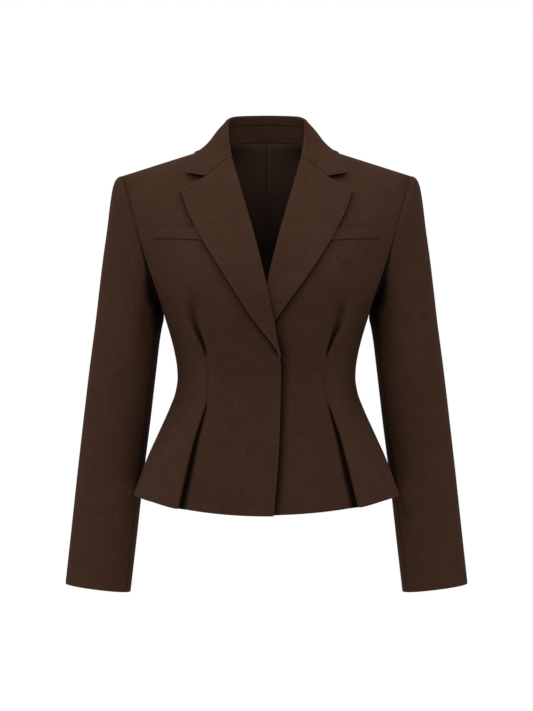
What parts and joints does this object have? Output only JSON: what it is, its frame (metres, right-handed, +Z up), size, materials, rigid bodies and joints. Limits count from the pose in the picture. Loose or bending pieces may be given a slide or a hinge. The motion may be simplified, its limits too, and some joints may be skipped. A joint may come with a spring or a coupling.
{
  "type": "tailored jacket",
  "caption": "Cropped, waisted women's jacket in dark brown wool, with notched lapels, long two-piece sleeves and a front pleat on each side, as worn.",
  "frame": {"origin": "middle of the neck opening, at the height of the shoulder seams' inner ends", "axes": "+X towards the wearer's left, +Y towards the wearer's back, +Z up along the body"},
  "size_m": [0.5924, 0.2615, 0.7046],
  "materials": {
    "wool": "matte"
  },
  "bodies": {
    "root": {"front_left": "wool", "front_right": "wool", "back_left": "wool", "back_right": "wool", "lapel_left": "wool", "lapel_right": "wool", "collar_fall": "wool", "collar_stand": "wool", "chest_welt_left": "wool", "chest_welt_right": "wool", "upper_sleeve_left": "wool", "upper_sleeve_right": "wool", "under_sleeve_left": "wool", "under_sleeve_right": "wool"}
  },
  "joints": []
}
